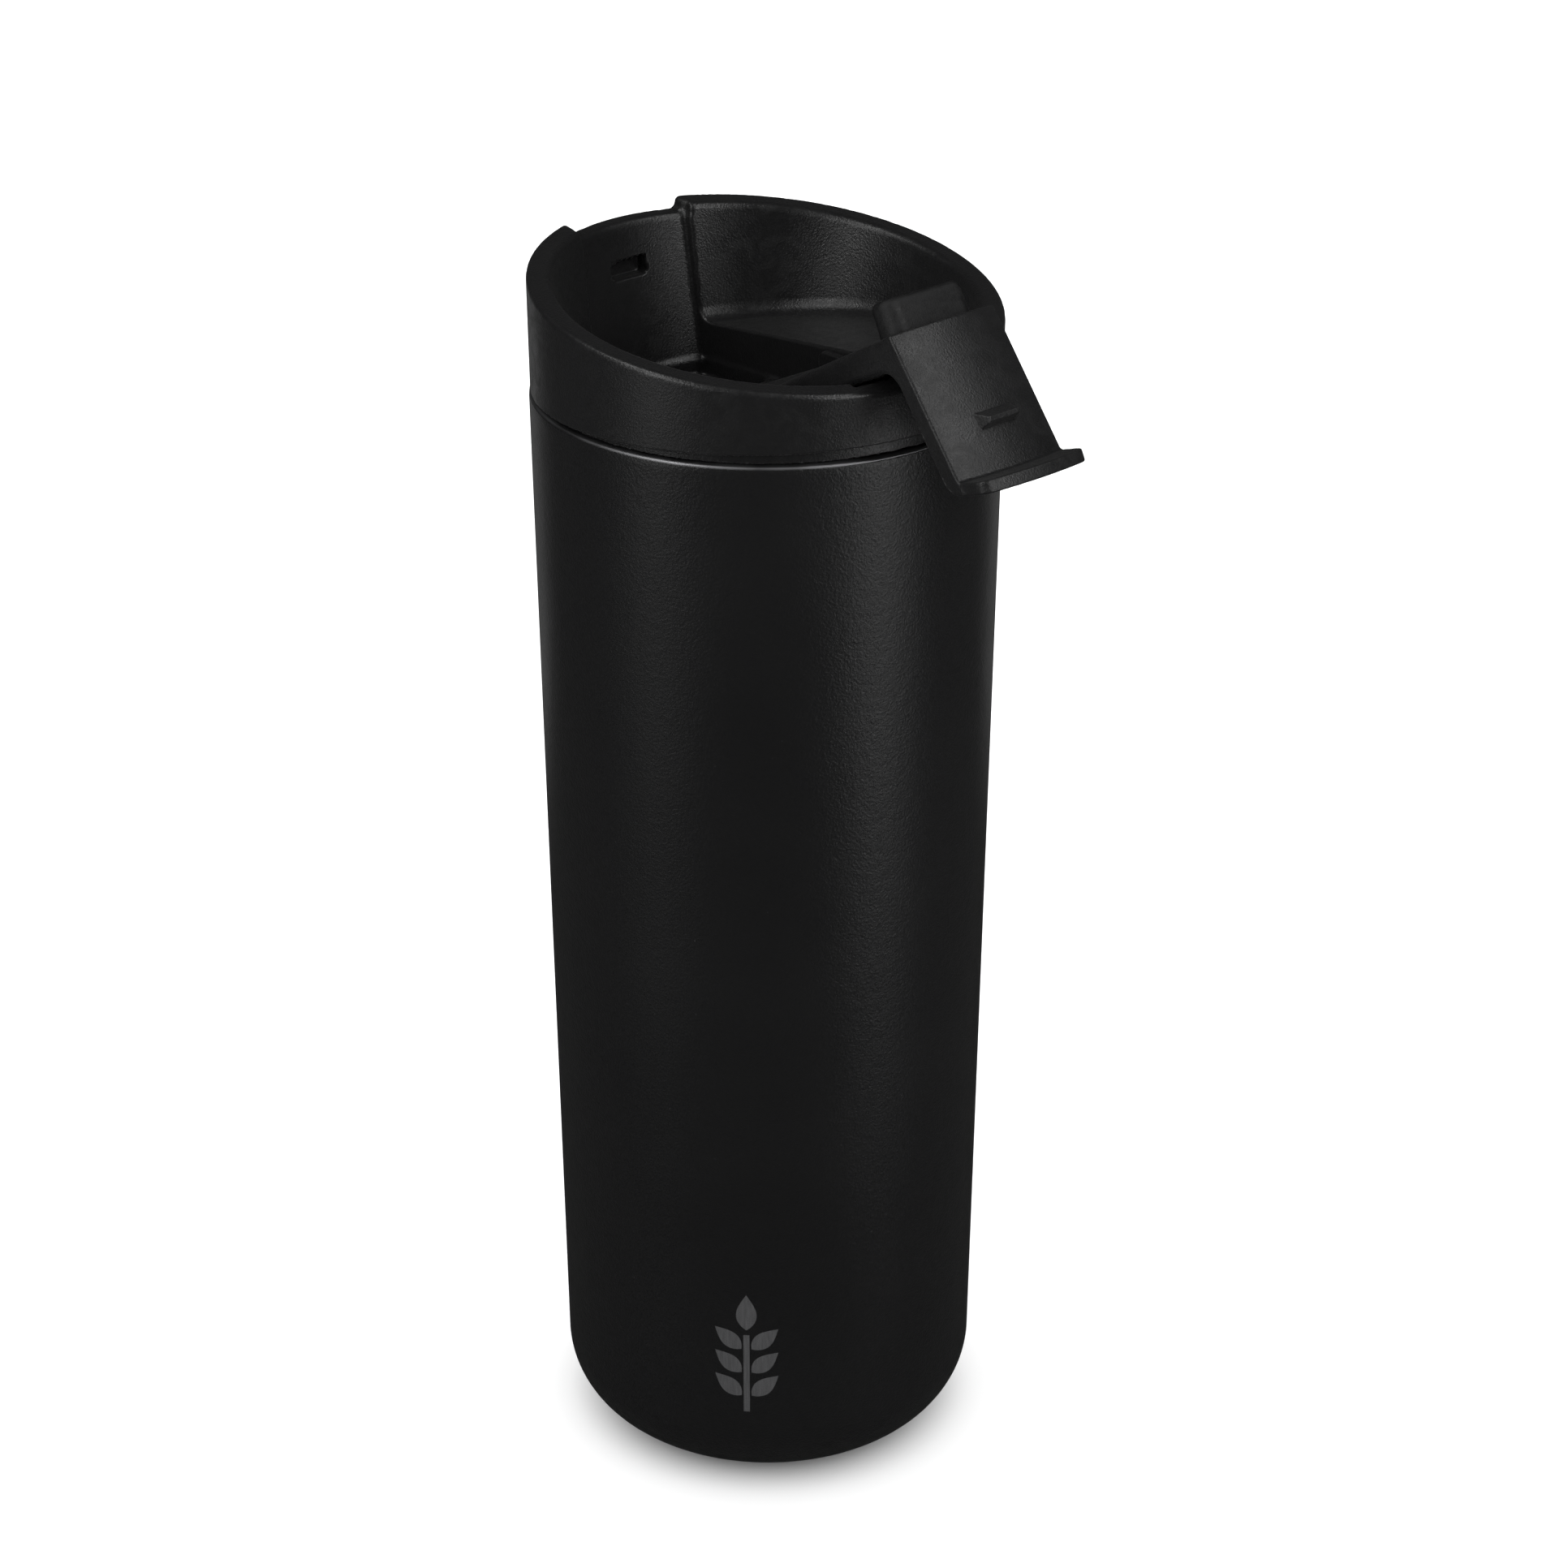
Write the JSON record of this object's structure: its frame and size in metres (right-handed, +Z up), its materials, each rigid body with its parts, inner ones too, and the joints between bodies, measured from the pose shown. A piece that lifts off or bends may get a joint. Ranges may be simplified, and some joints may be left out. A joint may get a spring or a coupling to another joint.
{
  "type": "insulated travel mug",
  "caption": "Double-walled steel travel mug with a screw-in slanted lid, a hinged flip cap that latches in the rim, and a silicone drink plug.",
  "frame": {"origin": "centre of the flat face that the mug stands on, on the vessel's axis", "axes": "+Z up along the vessel's axis; +X towards the low side of the slanted lid, the side the flip cap swings over to; the cap's hinge axis runs along Y"},
  "size_m": [0.0978, 0.074, 0.2092],
  "materials": {
    "powder_coat": "matte powder coat with a fine orange-peel grain",
    "bare_steel": "satin",
    "seal_glass": "fused glass solder",
    "getter_alloy": "sintered",
    "silicone": "smooth, slightly glossy",
    "lid_plastic": "fine matte mould grain",
    "pin_steel": "polished"
  },
  "bodies": {
    "vessel": {"outer_shell": "powder_coat", "inner_liner": "bare_steel", "vacuum_base": "bare_steel", "vacuum_seal": "seal_glass", "getter": "getter_alloy", "getter_clip": "bare_steel", "base_pad": "silicone"},
    "gasket": {"lid_gasket": "silicone"},
    "lid": {"lid_shell": "lid_plastic", "lid_base": "lid_plastic", "hinge_pin": "pin_steel"},
    "cap": {"flip_cap": "lid_plastic", "drink_plug": "silicone"}
  },
  "joints": [
    {"name": "lid_lift", "type": "slide", "parent": "vessel", "child": "gasket", "axis": [0, 0, 1], "range_m": [0, 0.0161]},
    {"name": "lid_turn", "type": "hinge", "parent": "gasket", "child": "lid", "pos_m": [0, 0, 0.1848], "axis": [0, 0, 1], "range_deg": [0, 720]},
    {"name": "cap_hinge", "type": "hinge", "parent": "lid", "child": "cap", "pos_m": [0.0085, 0, 0.1843], "axis": [0, -1, 0], "range_deg": [0, 153.2]}
  ],
  "couplings": [
    {"joint": "lid_lift", "follows": "lid_turn", "m_per_rad": 0.0012732}
  ]
}
